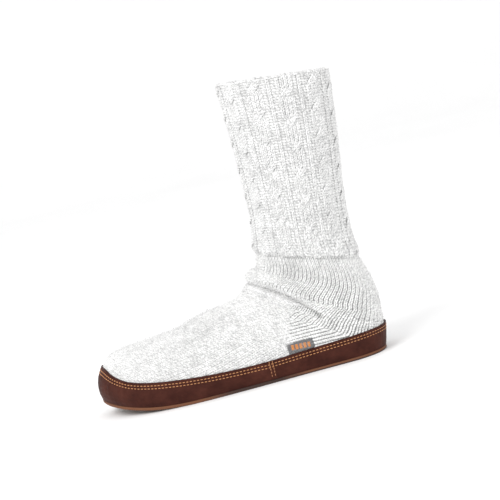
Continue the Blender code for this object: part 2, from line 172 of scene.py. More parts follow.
FINE_MARKS = 40            # steps from one row of the tables to the next
LINE_STEP = 0.0012         # between the lines that the sock's face is read on
ANGLES = 61                # points of one line, from the front to the back of one side
LINE_SMOOTH = 2.0
ROUND_SMOOTH = 1.2
RAY_REACH = 0.16
LEAST_RADIUS = 0.004
LEG_END_ROW = 6.0
HEEL_KNIT_END = 16.0
SOFT_EDGE_X = 0.056        # below the crease the soft knit of the foot ends here, and further forward
SOFT_EDGE_Z = 0.064        # the lower down the side
SOFT_EDGE_SLOPE = 0.38
SOFT_EDGE_RAGGED = 0.0030  # from wale to wale the edge moves this far to and fro
SOFT_EDGE_PERIOD = 0.0071


def unit(vectors):
    """The same ways, each of length 1."""
    return vectors / np.maximum(np.linalg.norm(vectors, axis=-1), 1e-9)[..., None]


def rows_between(rows, place):
    """A smooth curve through a table of rows, at a fractional row number."""
    last = len(rows) - 1
    i = int(min(max(math.floor(place), 0), last - 1))
    f = place - i
    p0, p1, p2, p3 = (np.array(rows[min(max(k, 0), last)]) for k in (i - 1, i, i + 1, i + 2))
    return 0.5 * (2 * p1 + (p2 - p0) * f + (2 * p0 - 5 * p1 + 4 * p2 - p3) * f**2
                  + (3 * p1 - p0 - 3 * p2 + p3) * f**3)


def soften(values, width, wrap=False):
    """Smoothing down the first axis, by weights that fall off in a bell's shape."""
    reach = int(3 * width) + 1
    weights = np.exp(-0.5 * (np.arange(-reach, reach + 1) / width) ** 2)
    weights /= weights.sum()
    padded = np.concatenate([values[-reach:], values, values[:reach]]) if wrap else np.concatenate(
        [np.repeat(values[:1], reach, 0), values, np.repeat(values[-1:], reach, 0)])
    return sum(w * padded[k:k + len(values)] for k, w in enumerate(weights))


def course_frames(rows):
    """Closely spaced course lines: their middles, the way to the front, and each one's row number."""
    marks = np.linspace(0, len(rows) - 1, FINE_MARKS * (len(rows) - 1) + 1)
    dense = np.array([rows_between(rows, m) for m in marks])
    middle = np.stack([(dense[:, 0] + dense[:, 2]) / 2, (dense[:, 1] + dense[:, 3]) / 2], 1)
    steps = (np.hypot(*np.diff(dense[:, :2], axis=0).T) + np.hypot(*np.diff(dense[:, 2:], axis=0).T)
             + np.hypot(*np.diff(middle, axis=0).T)) / 3
    run = np.concatenate([[0], np.cumsum(steps)])
    even = np.linspace(0, run[-1], int(run[-1] / LINE_STEP) + 1)
    lines = np.stack([np.interp(even, run, dense[:, k]) for k in range(4)], 1)
    row = np.interp(even, run, marks)
    centre = np.zeros((len(lines), 3))
    centre[:, 0] = (lines[:, 0] + lines[:, 2]) / 2
    centre[:, 2] = (lines[:, 1] + lines[:, 3]) / 2
    bend = np.clip((centre[:, 0] - BEND_START) / (BEND_END - BEND_START), 0, None)
    centre[:, 1] = -SEAM_SHIFT + TOE_BEND * bend**2
    front = np.stack([lines[:, 0] - lines[:, 2], np.zeros(len(lines)), lines[:, 1] - lines[:, 3]], 1)
    return centre, unit(front), row


def object_tree(obj):
    """A search tree over an object's faces, where they stand."""
    mesh = obj.data
    points = [obj.matrix_world @ v.co for v in mesh.vertices]
    return BVHTree.FromPolygons(points, [tuple(p.vertices) for p in mesh.polygons])


def sock_surface(rows):
    """The sock's outer face as smooth points by course line and angle from the front, for each side."""
    centre, front, row = course_frames(rows)
    tree = object_tree(upper)
    turn = np.linspace(0, math.pi, ANGLES)
    spread = np.full((2, len(centre), ANGLES), np.nan)
    for s, side in enumerate((-1, 1)):
        for i in range(len(centre)):
            middle = Vector(centre[i])
            for k, t in enumerate(turn):
                way = Vector(front[i]) * math.cos(t) + Vector((0, side * math.sin(t), 0))
                hit = tree.ray_cast(middle + way * RAY_REACH, -way)[0]
                if hit is None:
                    continue
                length = (hit - middle).dot(way)
                if length > LEAST_RADIUS:
                    spread[s, i, k] = length
    seen = ~np.isnan(spread)
    for s in range(2):
        for i in range(len(centre)):
            ok = np.flatnonzero(seen[s, i])
            spread[s, i] = np.interp(np.arange(ANGLES), ok, spread[s, i, ok])
    loop = np.concatenate([spread[0], spread[1][:, -2:0:-1]], 1)
    loop = soften(loop, LINE_SMOOTH)
    loop = soften(loop.T, ROUND_SMOOTH, wrap=True).T
    spread[0] = loop[:, :ANGLES]
    spread[1, :, 0] = loop[:, 0]
    spread[1, :, 1:] = loop[:, ANGLES - 1:][:, ::-1]
    points = np.zeros((2, len(centre), ANGLES, 3))
    for s, side in enumerate((-1, 1)):
        for k, t in enumerate(turn):
            way = front * math.cos(t)
            way[:, 1] += side * math.sin(t)
            points[s, :, k] = centre + way * spread[s, :, k, None]
    return points, seen, row


def smooth_step(value):
    """A soft rise from 0 to 1."""
    value = np.clip(value, 0, 1)
    return value * value * (3 - 2 * value)


# Folds of the slack ankle, listed one by one: seen from the side as x, z, with depth and the width below
# and above the line. A negative depth is a ridge.
FOLDS = (
    # depth, width below, width above, fade length, points of the line
    (0.0054, 0.0036, 0.0018, 0.006,
     ((0.010, 0.0935), (0.0230, 0.0908), (0.0326, 0.0855), (0.0439, 0.0792), (0.0550, 0.0716),
      (0.0655, 0.0620), (0.0744, 0.0525), (0.0810, 0.0430))),
    (-0.0038, 0.0042, 0.0048, 0.014,
     ((0.010, 0.1010), (0.0265, 0.0968), (0.0480, 0.0845), (0.0640, 0.0710), (0.0760, 0.0590))),
    (0.0011, 0.0020, 0.0020, 0.010,
     ((0.010, 0.0995), (0.0225, 0.0975), (0.0342, 0.0930), (0.0457, 0.0875))),
    (0.0009, 0.0060, 0.0040, 0.014,
     ((0.0360, 0.1065), (0.0560, 0.1020), (0.0760, 0.0900), (0.0900, 0.0760))),
    (0.0007, 0.0035, 0.0035, 0.012, ((0.1220, 0.0880), (0.1080, 0.0760), (0.0960, 0.0620))),
    (0.0006, 0.0045, 0.0045, 0.012, ((-0.0080, 0.0740), (0.0120, 0.0600), (0.0350, 0.0480))),
)
ACROSS_FRONT = 0.02        # a fold that starts ahead of this x runs on across the front
PATTERN_LIP = 0.0012       # the pattern's last courses stand out and the plain knit starts in a groove
PATTERN_LIP_ROW = 5.72
PATTERN_LIP_WIDTH = 0.30
PATTERN_STEP_IN = 0.0007
PATTERN_STEP_ROW = 6.12
PATTERN_STEP_WIDTH = 0.16
BAND_START = 8.4           # rows between which the solid's broad crease is evened out
BAND_END = 13.6
BAND_EASE = 1.2
BAND_PASSES = 4
BAND_SMOOTH = 6.0


def fold_depth(points):
    """How far the listed folds push the sock in at some points, seen from the side."""
    flat = points[..., [0, 2]]
    total = np.zeros(points.shape[:-1])
    for depth, below, above, fade, line in FOLDS:
        line = np.array(line)
        best = np.full(total.shape, 1.0)
        side = np.zeros(total.shape)
        along = np.zeros(total.shape)
        run = 0.0
        for a, b in zip(line[:-1], line[1:]):
            way = b - a
            length = np.linalg.norm(way)
            way = way / length
            share = np.clip((flat - a) @ way, 0, length)
            gap = flat - a - share[..., None] * way
            reach = np.linalg.norm(gap, axis=-1)
            nearer = reach < best
            best = np.where(nearer, reach, best)
            side = np.where(nearer, gap @ np.array([-way[1], way[0]]), side)
            along = np.where(nearer, run + share, along)
            run += length
        width = np.where(side > 0, above, below)
        start = 0.0 if line[0, 0] > ACROSS_FRONT else 1.0
        ends = smooth_step(along / fade + start) * smooth_step((run - along) / fade)
        total += depth * ends * np.exp(-(best / width) ** 2)
    return total


def outward(points, side):
    """The outward way at every point of one side of the sock's grid."""
    down = np.gradient(points, axis=0)
    across = np.gradient(points, axis=1) * (1 if side else -1)
    return unit(np.cross(across, down))


def set_folds(points, row):
    """Evens out the solid's broad crease, presses in the knit's own folds and lifts the pattern's edge."""
    in_band = smooth_step((row - BAND_START) / BAND_EASE) * smooth_step((BAND_END - row) / BAND_EASE)
    lip = PATTERN_LIP * np.exp(-((row - PATTERN_LIP_ROW) / PATTERN_LIP_WIDTH) ** 2) * (row < LEG_END_ROW)
    groove = PATTERN_STEP_IN * np.exp(-((row - PATTERN_STEP_ROW) / PATTERN_STEP_WIDTH) ** 2)
    groove = groove * (row >= LEG_END_ROW)
    for side in (0, 1):
        for _ in range(BAND_PASSES):
            even = soften(points[side], BAND_SMOOTH)
            out = outward(points[side], side)
            hollow = np.maximum(((even - points[side]) * out).sum(2), 0)
            points[side] += out * (hollow * in_band[:, None])[..., None]
        out = outward(points[side], side)
        push = -fold_depth(points[side]) + (lip - groove)[:, None]
        points[side] += out * push[..., None]
    return points


surface, surface_seen, surface_row = sock_surface(LEG_LINES + FOOT_LINES)
surface = set_folds(surface, surface_row)


def on_soft_foot(points, row):
    """Whether knit lies on the soft foot: past the heel's rows, or below the crease and ahead of them."""
    crease = np.array(FOLDS[0][4])
    below = points[..., 2] < np.interp(points[..., 0], crease[:, 0], crease[:, 1])
    edge = SOFT_EDGE_X - SOFT_EDGE_SLOPE * (SOFT_EDGE_Z - points[..., 2])
    edge = edge + SOFT_EDGE_RAGGED * np.sin(2 * math.pi * points[..., 2] / SOFT_EDGE_PERIOD)
    return (row >= HEEL_KNIT_END) | (below & (points[..., 0] < edge))


def ground_cloth():
    """The sock's wall between the stitches, as one smooth skin thickened inwards to the knit's wall."""
    keep = np.arange(0, len(surface_row), 2)
    loop = np.concatenate([surface[0, keep], surface[1, keep][:, -2:0:-1]], 1)
    seen = np.concatenate([surface_seen[0, keep], surface_seen[1, keep][:, -2:0:-1]], 1)
    count = loop.shape[1]
    down = np.gradient(loop, axis=0)
    around = np.roll(loop, -1, axis=1) - np.roll(loop, 1, axis=1)
    points = (loop - unit(np.cross(down, around)) * CLOTH_SINK).reshape(-1, 3)
    faces = []
    face_lines = []
    for i in range(len(keep) - 1):
        for k in range(count):
            n = (k + 1) % count
            corners = [(i, k), (i, n), (i + 1, k), (i + 1, n)]
            if all(seen[c] and loop[c][2] > CLOTH_FLOOR for c in corners):
                faces.append((i * count + k, (i + 1) * count + k, (i + 1) * count + n, i * count + n))
                face_lines.append(i)
    used, faces = np.unique(faces, return_inverse=True)
    inside = cloth_material("sock_cloth_inside", CLOTH_INSIDE)
    # The web's outer colours are painted shade between the stitches, darker still at the ankle and heel.
    leg_and_foot = cloth_material("sock_ground_cloth_painted_shade", CLOTH_SHADE)
    ankle = cloth_material("ankle_ground_cloth_painted_shade", ANKLE_SHADE)
    looks = (leg_and_foot, ankle, inside, inside)
    mesh = new_mesh("ground_cloth", points[used].tolist(), faces.reshape(-1, 4).tolist(), *looks)
    mesh.shade_smooth()
    # Rows of the ankle and heel, off the soft foot, take the darker painted shade.
    for face, line in zip(mesh.polygons, face_lines):
        row = surface_row[keep[line]]
        face.material_index = int(row >= LEG_END_ROW and not on_soft_foot(np.array(face.center), row))
    cloth = place_in_scene("ground_cloth", mesh)
    wall = cloth.modifiers.new("wall", "SOLIDIFY")
    wall.thickness = CLOTH_WALL
    wall.offset = -1
    wall.material_offset = OUTER_LOOKS
    wall.material_offset_rim = OUTER_LOOKS
    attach(cloth, "root")
    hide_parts("upper")


ground_cloth()

# Patterned knit of the leg: eleven rope cables of two strands, two stitches each, with a purl column on
# either side and one plain rib between panels. Ragg wool, one off-white ply twisted with one grey ply.
# The cables cross every ten courses and pull the leg in.
WOOL_WHITE = (0.825, 0.824, 0.818)
WOOL_GREY = (0.53, 0.53, 0.532)
WALES = 77
PANEL = 7                  # wales from one cable's middle to the next
COURSE = 0.00245           # height of one course
CABLE_PITCH = 10.0         # courses from one crossing to the next
CABLE_TURN = 4.6           # courses that a crossing takes
CABLE_START = 3.0
PANEL_LAG = 3.5            # every other cable crosses this many courses later
FIRST_COURSE = 0.8
LAST_COURSE_GAP = 0.2
CABLE_LIFT = 0.0007
CABLE_RISE = 0.0010
RIB_LIFT = 0.0006
PURL_SINK = 0.0002
YARN_LOOSE = 0.06          # how much strands of yarn vary in way and length
STRAY_SIDEWAYS = 0.0008    # how far the loosest would lie to one side
STRAY_HEIGHT = 1.5
arcs = np.concatenate([np.zeros((2, len(surface_row), 1)),
                       np.cumsum(np.linalg.norm(np.diff(surface, axis=2), axis=3), axis=2)], 2)
HEEL_END_ROW = 13.0        # as far as this row the wales close round the leg, from here on they keep
FOOT_WALE = 0.00345        # this width and end at the rand
FOOT_EASE = 18.0           # lines over which one turns into the other
COURSE_ANGLE = 20          # the point of a line that courses are counted on
closed = surface_row <= HEEL_END_ROW
last_closed = np.flatnonzero(closed)[-1]
line_numbers = np.arange(len(surface_row))
fade = np.exp(-(line_numbers - last_closed) / FOOT_EASE)
side_width = arcs[:, :, -1] * 2 / WALES
for side in (0, 1):
    open_width = FOOT_WALE + (side_width[side, last_closed] - FOOT_WALE) * fade
    side_width[side] = np.where(closed, side_width[side], open_width)
wale_width = side_width.mean(0)
line_gap = np.linalg.norm(np.diff(surface[:, :, COURSE_ANGLE], axis=1), axis=2).mean(0)
course_number = np.concatenate([[0], np.cumsum(line_gap)]) / COURSE


def sock_point(wale, line):
    """Points on the sock at wale numbers (0 at the front, lateral side negative) and line numbers."""
    wale, line = np.broadcast_arrays(np.asarray(wale, float), np.asarray(line, float))
    i = np.clip(np.floor(line).astype(int), 0, len(surface_row) - 2)
    f = (line - i)[..., None]
    side = (wale > 0).astype(int)
    found = []
    for row in (i, i + 1):
        want = np.abs(wale) * side_width[side, row]
        arc = arcs[side, row]
        k = np.clip((arc < want[..., None]).sum(-1) - 1, 0, ANGLES - 2)
        low = np.take_along_axis(arc, k[..., None], -1)[..., 0]
        high = np.take_along_axis(arc, k[..., None] + 1, -1)[..., 0]
        g = np.clip((want - low) / np.maximum(high - low, 1e-9), 0, 1.5)[..., None]
        found.append(surface[side, row, k] * (1 - g) + surface[side, row, k + 1] * g)
    return found[0] * (1 - f) + found[1] * f


def sock_frame(wale, line):
    """Points of the sock, and the ways out, across and down there, at wale and line numbers."""
    step = 0.45
    across = sock_point(wale + step, line) - sock_point(wale - step, line)
    down = sock_point(wale, line + 1.0) - sock_point(wale, line - 1.0)
    return sock_point(wale, line), unit(np.cross(across, down)), unit(across), unit(down)


def strand_mesh(name, centre, along, out, length, width, height, material, loose=0.0):
    """Short arched strands of yarn as one mesh, pointed at both ends and lying on the cloth."""
    n = len(centre)
    stray = np.random.default_rng(n).normal(0.0, loose, (4, n))
    along = unit(along + unit(np.cross(out, along)) * stray[0][:, None])
    across = unit(np.cross(out, along))
    centre = centre + across * (stray[1] * STRAY_SIDEWAYS)[:, None]
    length = length * (1 + stray[2])
    height = height * (1 + STRAY_HEIGHT * stray[3])
    out = np.cross(along, across)
    length, width, height = (np.broadcast_to(v, n)[:, None] for v in (length, width, height))
    first_tip, last_tip, tip_sink = 0.52, 0.54, 0.75
    ring_at = (-0.30, -0.11, 0.12, 0.32)
    ring_size = (0.80, 1.00, 0.98, 0.72)
    points = [centre - along * length * first_tip - out * height * tip_sink]
    yarn = [(0.0, 0.5)]
    for at, size in zip(ring_at, ring_size):
        for turn in np.linspace(0, math.pi, 4):
            points.append(centre + along * length * at - across * width * 0.5 * size * math.cos(turn)
                          + out * height * (size * math.sin(turn) * 1.1 - 0.35))
            yarn.append((at + 0.5, turn / math.pi))
    points.append(centre + along * length * last_tip - out * height * tip_sink)
    yarn.append((1.0, 0.5))
    each = len(points)
    points = np.stack(points, 1).reshape(-1, 3)
    faces = [(0, 2 + k, 1 + k) for k in range(3)]
    for ring in range(3):
        base = 1 + 4 * ring
        faces += [(base + k, base + k + 1, base + k + 5, base + k + 4) for k in range(3)]
    faces += [(each - 1, 13 + k, 14 + k) for k in range(3)]
    tris = np.array([f for f in faces if len(f) == 3])
    quads = np.array([f for f in faces if len(f) == 4])
    shift = (np.arange(n) * each)[:, None, None]
    all_faces = (tris[None] + shift).reshape(-1, 3).tolist() + (quads[None] + shift).reshape(-1, 4).tolist()
    mesh = new_mesh(name, points.tolist(), all_faces, material)
    mesh.shade_smooth()
    chance = np.random.default_rng(len(name) + n).random(n)
    packed = np.column_stack([np.tile(np.array(yarn), (n, 1)), np.repeat(chance, each)])
    store = mesh.attributes.new("yarn", "FLOAT_VECTOR", "POINT")
    store.data.foreach_set("vector", packed.astype(np.float32).ravel())
    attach(place_in_scene(name, mesh), "root")


STITCH_SHADE = 0.85        # the darkest stitch, as a share of the lightest


def scaled_sum(add, join, value, value_out, factor, other, other_out):
    """A node's output times a factor, plus another node's output."""
    node = add("ShaderNodeMath", operation="MULTIPLY_ADD")
    join(value, value_out, node, 0)
    node.inputs[1].default_value = factor
    join(other, other_out, node, 2)
    return node


def multiplied(add, join, first, first_out, second, second_out):
    """Two colours multiplied."""
    mix = add("ShaderNodeMix", data_type="RGBA", blend_type="MULTIPLY", Factor=1.0)
    join(first, first_out, mix, "A")
    join(second, second_out, mix, "B")
    return mix


def yarn_material(name, white, grey, grey_share, twist=1.3):
    """Two plies, white and grey, wound round each other, with flecks and a dull woolly surface."""
    made, shader, add, join = new_material(name)
    place = add("ShaderNodeAttribute", attribute_name="yarn")
    parts = add("ShaderNodeSeparateXYZ")
    join(place, "Vector", parts, "Vector")
    turns = scaled_sum(add, join, parts, "X", twist, parts, "Z")
    slant = scaled_sum(add, join, parts, "Y", 0.75, turns, "Value")
    phase = scaled_sum(add, join, parts, "Z", 7.3, slant, "Value")
    wind = add("ShaderNodeMath", operation="PINGPONG")
    join(phase, "Value", wind, 0)
    wind.inputs[1].default_value = 0.5
    fleck = texture(add, join, "ShaderNodeTexNoise", Scale=650.0, Detail=4.0, Roughness=0.7)
    drift = scaled_sum(add, join, fleck, "Fac", 0.55, wind, "Value")
    plies = two_colours(add, join, drift, "Value", grey, white, grey_share, grey_share + 0.2)
    cloud = texture(add, join, "ShaderNodeTexNoise", Scale=75.0, Detail=3.0)
    soil = two_colours(add, join, cloud, "Fac", (0.90, 0.90, 0.90), (1.0, 1.0, 1.0), 0.35, 0.6)
    lot = two_colours(add, join, parts, "Z", (STITCH_SHADE,) * 3, (1.0, 1.0, 1.0), 0.0, 0.7)
    mottle = multiplied(add, join, soil, "Color", lot, "Color")
    blend = multiplied(add, join, plies, "Color", mottle, "Result")
    join(blend, "Result", shader, "Base Color")
    fibre = texture(add, join, "ShaderNodeTexNoise", Scale=2600.0, Detail=2.0)
    surface_feel(add, join, shader, fibre, "Fac", 0.35, 0.0003, 0.92, 0.35)
    shader.inputs["Specular IOR Level"].default_value = 0.2
    return made


wool = yarn_material("ragg_wool_yarn", WOOL_WHITE, WOOL_GREY, 0.30)
leg_last_line = float(np.interp(LEG_END_ROW, surface_row, line_numbers))
leg_courses = np.arange(FIRST_COURSE, np.interp(leg_last_line, line_numbers, course_number) - LAST_COURSE_GAP)


def line_of_course(course):
    return np.interp(course, course_number, line_numbers)


def wale_width_at(line):
    return np.interp(line, line_numbers, wale_width)


STRAND_SPREAD = 0.94       # wales from a cable's middle to each of its two strands
STRAND_NARROW = 0.95       # wales between the two of one strand
UNDER_DEPTH = 0.9          # how deep the lower strand dips, as a share of the upper one's rise


def leg_path(wale, course):
    """Where a leg wale runs: its sideways place and its height, as the cables cross."""
    panel = np.round(wale / PANEL)
    place = wale - panel * PANEL
    in_cable = np.abs(place) < 2
    strand = np.sign(place)
    knot = (course - CABLE_START - PANEL_LAG * (panel % 2)) / CABLE_PITCH
    crossing = np.floor(knot + 0.5)
    within = (knot + 0.5 - crossing - 0.5) * CABLE_PITCH / CABLE_TURN + 0.5
    q = smooth_step(within)
    flip = 1 - 2 * (np.abs(crossing) % 2)
    side = strand * flip * (1 - 2 * q)
    over = (strand * flip) < 0
    lift = np.sin(math.pi * q) * np.where(over, CABLE_RISE, -UNDER_DEPTH * CABLE_RISE)
    inner = place - strand
    moved = np.where(in_cable, panel * PANEL + side * STRAND_SPREAD + inner * STRAND_NARROW, wale)
    rise = np.where(in_cable, CABLE_LIFT + lift, np.where(np.abs(place) < 3, -PURL_SINK, RIB_LIFT))
    return moved, rise


def every_stitch(wales, courses):
    """Wale and course numbers of all stitches where some wales and courses meet."""
    return (v.ravel() for v in np.meshgrid(wales, courses, indexing="ij"))


def leg_frames(wales, courses):
    """Courses, points, ways out, across and down, and heights of every stitch of these wales."""
    wale, course = every_stitch(wales, courses)

    def at(c):
        moved, rise = leg_path(wale, c)
        point, out, across, down = sock_frame(moved, line_of_course(c))
        return point + out * rise[:, None], out, across

    point, out, across = at(course)
    step = at(course + 0.5)[0] - at(course - 0.5)[0]
    down = unit(step)
    return course, point, out, unit(np.cross(out, down)), down, np.linalg.norm(step, axis=1)


STITCH_LENGTH = 1.75       # in courses, as each stitch reaches into the one above it
ARM_ROUND = 0.60           # height of a stitch's arm, as a share of its width


def knit_stitches(name, yarn, point, out, across, down, width, course, plump, arm, lean, apart):
    """A plain stitch is two arms that lean together, so this sets a pair of strands at each point."""
    lean = math.radians(lean)
    ends = []
    for side in (-1, 1):
        along = -down * math.cos(lean) + across * side * math.sin(lean)
        ends.append((point + across * (side * apart * width)[:, None], along))
    centre = np.concatenate([e[0] for e in ends])
    along = np.concatenate([e[1] for e in ends])
    both = np.concatenate([out, out])
    wide = np.concatenate([width, width]) * arm
    tall = np.tile(np.broadcast_to(course, len(point)), 2) * STITCH_LENGTH
    strand_mesh(name, centre, along, both, tall, wide, wide * ARM_ROUND * plump, yarn, YARN_LOOSE)


LEG_STITCH = (1.15, 0.50, 21.0, 0.20)  # how plump, an arm's width, its lean and how far apart in wales
PURL_TALL = 1.15           # in courses
PURL_RISE = 0.0011
all_wales = np.arange(WALES) - WALES / 2
place_in_panel = all_wales - np.round(all_wales / PANEL) * PANEL
knit_wales = all_wales[(np.abs(place_in_panel) < 2) | (np.abs(place_in_panel) > 3)]
purl_wales = all_wales[(np.abs(place_in_panel) > 2) & (np.abs(place_in_panel) < 3)]
half = len(leg_courses) // 2
for name, courses in (("leg_cables_top", leg_courses[:half]), ("leg_cables_low", leg_courses[half:])):
    course, point, out, across, down, height = leg_frames(knit_wales, courses)
    width = wale_width_at(line_of_course(course))
    knit_stitches(name, wool, point, out, across, down, width, height, *LEG_STITCH)

under_wales = all_wales[(np.abs(place_in_panel) > 1) & (np.abs(place_in_panel) < 2)]
for name, wales, reach in (
    ("leg_purl_columns", purl_wales, 1.45),
    ("leg_purl_under_cables", under_wales, 1.50),
):
    wale, course = every_stitch(wales, leg_courses)
    point, out, across, down = sock_frame(wale, line_of_course(course))
    step = sock_point(wale, line_of_course(course + 0.5)) - sock_point(wale, line_of_course(course - 0.5))
    height = np.linalg.norm(step, axis=1)
    width = wale_width_at(line_of_course(course))
    point = point - out * PURL_SINK
    strand_mesh(name, point, across, out, width * reach, height * PURL_TALL, PURL_RISE, wool, YARN_LOOSE)

# Inside of the leg: the backs of the stitches, as far down as the eye reaches. They are the same yarn on
# the other face of the knit, one short bar across every stitch.
INSIDE_COURSES = 46
INSIDE_PROUD = 0.0003
INSIDE_WALE = 0.94         # the inside is this much narrower round than the outside
INSIDE_BAR = 1.3           # in wales
INSIDE_TALL = 1.05         # in courses
INSIDE_RISE = 0.0009
wale, course = every_stitch(all_wales, leg_courses[:INSIDE_COURSES])
point, out, across, down = sock_frame(wale, line_of_course(course))
inner = point - out * (CLOTH_SINK + CLOTH_WALL - INSIDE_PROUD)
width = wale_width_at(line_of_course(course)) * INSIDE_WALE
bar_sizes = (width * INSIDE_BAR, COURSE * INSIDE_TALL, INSIDE_RISE)
strand_mesh("leg_inside_purl", inner, across, -out, *bar_sizes, wool, YARN_LOOSE)

# Plain knit of the ankle, heel and foot, in the same ragg wool, a lighter copy of it on the ankle and heel
# as painted light where they are lit. Every wale runs down the ankle, round the heel and along the foot, and
# tucks in behind the leather rand. Ankle and heel are drawn out, so that their wales show as lines, and the
# foot is brushed soft.
GATHER = 7.0               # wales that the slack ankle is drawn towards the front
GATHER_FIRST_ROW = 6.0
GATHER_FULL_ROW = 13.5
GATHER_LAST_ROW = 32.0
HEEL_KNIT_ROW = 10.5       # the heel's wider stitches start here
SOFT_KNIT_ROW = 9.0        # and the soft ones at the top of the crease
FOOT_KNIT_FLOOR = 0.0165   # the knit behind the rand stops here
FIRST_STITCH = 0.4         # in courses below the first row
PAST_SEEN = 0.0005         # stitches reach this far past what shows of the solid
LABEL_ROOM_LOW = (0.0004, 0.001, 0.004)
LABEL_ROOM_HIGH = (0.0004, 0.004, -0.0004)
# A lighter copy of the wool for the ankle and heel: painted light, where these are lit.
LIT_WHITE = (0.875, 0.875, 0.868)
LIT_GREY = (0.52, 0.52, 0.52)


def row_of_line(line):
    return np.interp(line, line_numbers, surface_row)


def gathered(wale, row):
    """Where a wale runs once the slack knit of the ankle has slid forward over the roll."""
    full = smooth_step((row - GATHER_FIRST_ROW) / (GATHER_FULL_ROW - GATHER_FIRST_ROW))
    full = full * smooth_step((GATHER_LAST_ROW - row) / (GATHER_LAST_ROW - GATHER_FULL_ROW))
    around = np.minimum(np.abs(wale) / (WALES / 2), 1)
    moved = wale - np.sign(wale) * GATHER * full * np.sin(math.pi * around)
    spread = 1 - GATHER * full * math.pi / (WALES / 2) * np.cos(math.pi * around)
    return moved, spread


def foot_stitches(name, yarn, first_row, last_row, plump, arm, lean, apart, soft):
    """Plain stitches down all wales from one row to another, left out where the rand covers them."""
    first, last = (float(np.interp(row, surface_row, line_numbers)) for row in (first_row, last_row))
    found = []
    for wale in all_wales:
        lines = np.arange(first, last, 0.5)
        path = sock_point(gathered(wale, row_of_line(lines))[0], lines)
        run = np.concatenate([[0], np.cumsum(np.linalg.norm(np.diff(path, axis=0), axis=1))])
        line = np.interp(np.arange(FIRST_STITCH * COURSE, run[-1], COURSE), run, lines)
        row = np.clip(np.round(line).astype(int), 0, len(surface_row) - 1)
        side = int(wale > 0)
        seen_arc = np.where(surface_seen[side], arcs[side], 0).max(1)
        moved = np.abs(gathered(wale, row_of_line(line))[0])
        ok = moved * side_width[side, row] < seen_arc[row] + PAST_SEEN
        found.append(np.column_stack([np.full(ok.sum(), wale), line[ok]]))
    wale, line = np.concatenate(found).T
    moved, spread = gathered(wale, row_of_line(line))
    point, out, across, down = sock_frame(moved, line)
    ahead = sock_point(gathered(wale, row_of_line(line + 1))[0], line + 1)
    behind = sock_point(gathered(wale, row_of_line(line - 1))[0], line - 1)
    down = unit(ahead - behind)
    across = unit(np.cross(out, down))
    behind_label = np.all((point > label_room[0]) & (point < label_room[1]), axis=1)
    keep = (point[:, 2] > FOOT_KNIT_FLOOR) & ~behind_label
    keep &= on_soft_foot(point, row_of_line(line)) == soft
    point, out, across, down, line, spread = (v[keep] for v in (point, out, across, down, line, spread))
    width = wale_width_at(line) * spread
    knit_stitches(name, yarn, point, out, across, down, width, COURSE, plump, arm, lean, apart)


label_corners = np.array([v.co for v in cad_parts["label"].data.vertices])
label_room = (label_corners.min(0) - LABEL_ROOM_LOW, label_corners.max(0) + LABEL_ROOM_HIGH)
# The ankle and heel knit takes the lighter copy of the wool, painted light.
lit_wool = yarn_material("ragg_wool_yarn_painted_light", LIT_WHITE, LIT_GREY, 0.28)
last_row = len(LEG_LINES + FOOT_LINES) - 1.0
for name, yarn, rows, plump, arm, lean, apart in (
    # how plump the stitches are, an arm's width in wales, its lean in degrees, how far apart in wales
    ("ankle_knit", lit_wool, (LEG_END_ROW, HEEL_KNIT_ROW), 1.30, 0.37, 13.0, 0.20),
    ("heel_knit", lit_wool, (HEEL_KNIT_ROW, HEEL_KNIT_END), 1.25, 0.40, 12.0, 0.232),
    ("foot_knit", wool, (SOFT_KNIT_ROW, last_row), 0.85, 0.52, 24.0, 0.20),
):
    foot_stitches(name, yarn, *rows, plump, arm, lean, apart, name == "foot_knit")

# Collar: the last course is bound off as a chain that lies over the top of the wall, a little wavy
# where the cables draw it in.
COLLAR_LINKS = 88
LINK_LENGTH = 1.75         # in link spacings
LINK_WIDTH = 0.0023
LINK_RISE = 0.0017
EDGE_WIDTH = 0.0022
EDGE_RISE = 0.0013
COLLAR_LINE = 0.4
COLLAR_WAVE = 0.0005
COLLAR_PROUD = 0.0004      # above the wall's top
OUTER_CHAIN_DEPTH = 0.0001
INNER_CHAIN_DEPTH = 0.0021
CHAIN_SWING = 0.42         # how far each link is turned out of the chain's way
turns = (np.arange(COLLAR_LINKS) + 0.5) / COLLAR_LINKS * WALES - WALES / 2
point, out, across, down = sock_frame(turns, COLLAR_LINE)
wave = COLLAR_WAVE * np.sin(turns * 2 * math.pi / PANEL)
spacing = wale_width[0] * WALES / COLLAR_LINKS
for name, depth, swing in (
    ("collar_chain_outer", OUTER_CHAIN_DEPTH, CHAIN_SWING),
    ("collar_chain_inner", INNER_CHAIN_DEPTH, -CHAIN_SWING),
):
    centre = point - out * depth - down * (COLLAR_PROUD + wave)[:, None]
    link = across * math.cos(swing) + out * math.sin(swing)
    strand_mesh(name, centre, link, -down, spacing * LINK_LENGTH, LINK_WIDTH, LINK_RISE, wool, YARN_LOOSE)
# The same chain seen from outside, so that the edge is as full as the knit under it.
edge_length = spacing * LINK_LENGTH
strand_mesh("collar_edge", point, across, out, edge_length, EDGE_WIDTH, EDGE_RISE, wool, YARN_LOOSE)

# Fuzz of the wool: fine loose fibres that stand off the whole knit and blur its outline. They are ends that
# have worked out of the yarn, each a flat curl a few millimetres long.
FIBRES = 15000
FIBRE_WIDTH = 0.00009
FIBRE_LENGTH = 0.0042
FUZZ_FLOOR = 0.022
FUZZ_START = 0.0004        # off the sock's face
FUZZ_RISE = (0.0008, 0.0019)
FUZZ_CURL = 0.5


